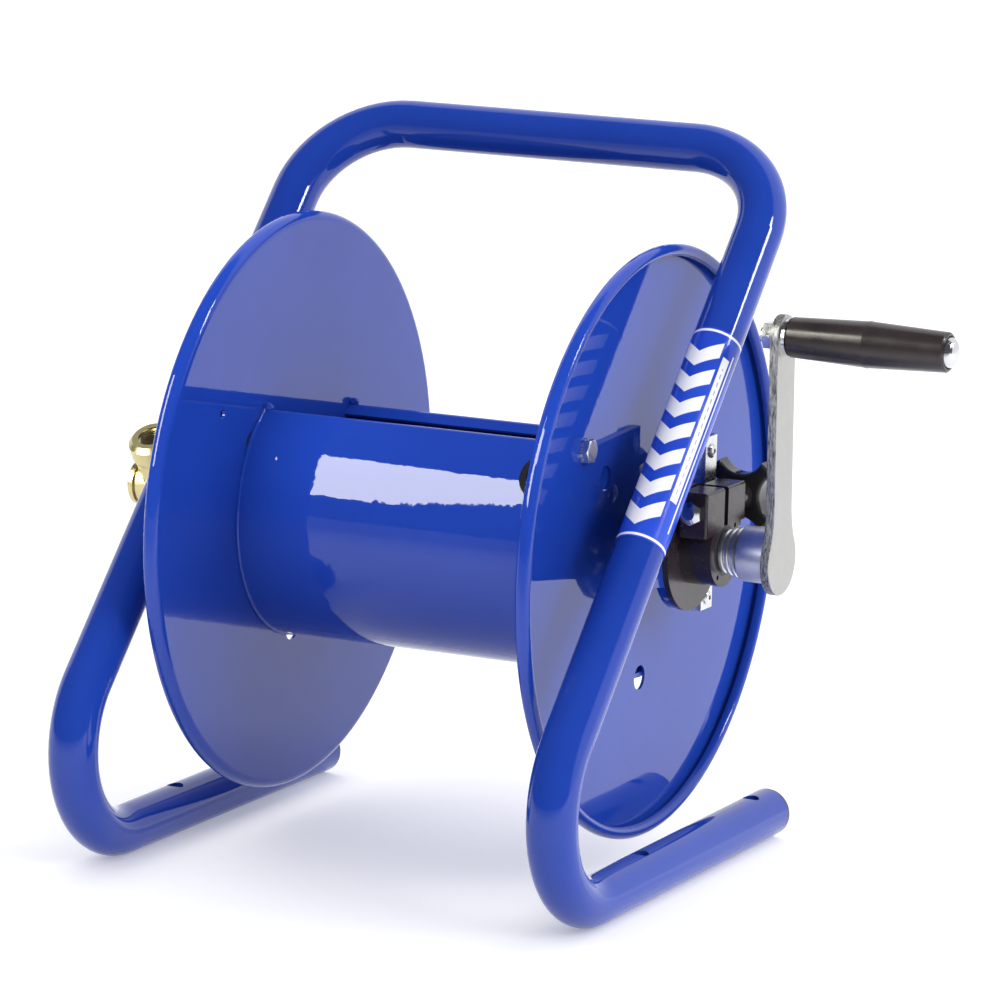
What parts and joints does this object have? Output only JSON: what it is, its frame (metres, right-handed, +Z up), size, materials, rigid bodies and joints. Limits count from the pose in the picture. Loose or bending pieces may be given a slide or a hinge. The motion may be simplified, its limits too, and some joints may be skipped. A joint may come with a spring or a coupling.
{
  "type": "portable hose reel",
  "caption": "Hand-crank hose reel with a slotted drum between rolled-edge discs, carried in a bent-tube frame with a carry handle, drag brake and swivel inlet.",
  "frame": {"origin": "on the floor, centre of the four foot bolt holes, straight below the middle of the axle", "axes": "+X along the axle towards the crank, -Y to the front where the legs bend into the feet, +Z up"},
  "size_m": [0.4667, 0.3373, 0.3741],
  "materials": {
    "blue_powder_coat": "gloss",
    "zinc_steel": "satin",
    "bright_zinc": "bright",
    "black_plastic": "satin",
    "grip_plastic": "satin",
    "black_rubber": "matte",
    "brass": "satin",
    "bushing_plastic": "satin",
    "label_vinyl": "gloss"
  },
  "bodies": {
    "frame": {"frame_tube": "blue_powder_coat", "foot_caps": "black_plastic", "right_bearing_bracket": "blue_powder_coat", "left_bearing_bracket": "blue_powder_coat", "bracket_welds": "blue_powder_coat", "bearing_straps": "zinc_steel", "strap_rivets": "zinc_steel", "brake_housing": "black_plastic", "left_bearing_housing": "black_plastic", "axle_bushings": "bushing_plastic", "flange_screws": "zinc_steel", "clamp_bolt": "bright_zinc", "leg_label": "label_vinyl"},
    "reel": {"left_disc": "blue_powder_coat", "right_disc": "blue_powder_coat", "drum_sheet": "blue_powder_coat", "drum_grommet": "black_rubber", "disc_hubs": "zinc_steel", "hub_bolts": "zinc_steel", "axle": "zinc_steel", "axle_collars": "zinc_steel", "hub_washers": "bright_zinc", "crank_hub": "bright_zinc", "crank_arm": "zinc_steel", "grip_nut": "bright_zinc", "grip_washer": "bright_zinc", "grip_bolt": "bright_zinc", "riser_pipe": "zinc_steel", "riser_fitting": "brass", "disc_bolt": "bright_zinc", "disc_bolt_washer": "bright_zinc", "disc_bolt_nut": "bright_zinc", "swivel_stem": "brass"},
    "crank_grip": {"grip": "grip_plastic"},
    "inlet_swivel": {"inlet_elbow": "brass"},
    "knob": {"brake_knob": "black_plastic", "knob_insert": "zinc_steel"}
  },
  "joints": [
    {"name": "reel_turn", "type": "hinge", "parent": "frame", "child": "reel", "pos_m": [0, 0, 0.1693], "axis": [1, 0, 0], "continuous": true},
    {"name": "grip_turn", "type": "hinge", "parent": "reel", "child": "crank_grip", "pos_m": [0.22, -0.00394, 0.28223], "axis": [1, 0, 0], "continuous": true},
    {"name": "inlet_turn", "type": "hinge", "parent": "frame", "child": "inlet_swivel", "pos_m": [-0.181, 0, 0.1693], "axis": [1, 0, 0], "continuous": true},
    {"name": "brake_knob_turn", "type": "hinge", "parent": "frame", "child": "knob", "pos_m": [0.1365, 0.033, 0.1918], "axis": [0, 1, 0], "range_deg": [-180, 90]}
  ]
}
